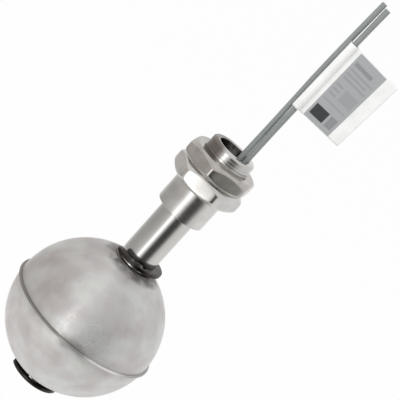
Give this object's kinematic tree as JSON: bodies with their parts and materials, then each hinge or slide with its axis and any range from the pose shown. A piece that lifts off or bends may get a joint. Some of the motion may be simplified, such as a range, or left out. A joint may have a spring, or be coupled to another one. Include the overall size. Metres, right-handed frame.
{
  "type": "float level switch",
  "caption": "Vertical float level switch: hollow steel ball on a short stem, hex fitting, threaded stub, jam nut, two wires with a flag label.",
  "frame": {"origin": "on the stem's axis where the stub's free thread begins, just above the seated jam nut", "axes": "+Z along the stem towards the lead wires; +X towards the side on which the wires leave and the flag label stands; +Y completes the right-handed frame"},
  "size_m": [0.0527, 0.0526, 0.164],
  "materials": {
    "turned_stainless": "turned and milled, satin",
    "milled_stainless": "milled, satin",
    "stem_stainless": "drawn, bright",
    "spring_steel": "stamped, tumbled",
    "ball_stainless": "pressed, fine matt polish",
    "weld_metal": "weld bead, brushed",
    "ferrite": "sintered, matt",
    "nylon": "extruded, matt",
    "glass": "clear",
    "reed_alloy": "plated",
    "tinned_copper": "tinned",
    "epoxy": "cast resin, semi-gloss",
    "wire_insulation": "extruded, semi-matt",
    "label_film": "printed film, semi-gloss"
  },
  "bodies": {
    "base": {"mounting_fitting": "turned_stainless", "stem_tube": "stem_stainless", "stem_end_plug": "stem_stainless", "upper_clip": "spring_steel", "lower_clip": "spring_steel", "reed_glass": "glass", "reed_blade_upper": "reed_alloy", "reed_blade_lower": "reed_alloy", "return_lead": "tinned_copper", "reed_potting": "epoxy", "splice_sleeve_a": "tinned_copper", "splice_sleeve_b": "tinned_copper", "inner_lead_a": "wire_insulation", "inner_lead_b": "wire_insulation", "potting_seal": "epoxy", "lead_wire_a": "wire_insulation", "lead_wire_b": "wire_insulation", "flag_label": "label_film"},
    "float": {"float_upper_shell": "ball_stainless", "float_lower_shell": "ball_stainless", "float_weld_seam": "weld_metal", "float_guide_tube": "stem_stainless", "ring_magnet": "ferrite", "magnet_spacer_upper": "nylon", "magnet_spacer_lower": "nylon"},
    "nut": {"jam_nut": "milled_stainless"}
  },
  "joints": [
    {"name": "float_slide", "type": "slide", "parent": "base", "child": "float", "axis": [0, 0, 1], "range_m": [0, 0.0014]},
    {"name": "nut_slide", "type": "slide", "parent": "base", "child": "nut", "axis": [0, 0, 1], "range_m": [0, 0.01]}
  ]
}
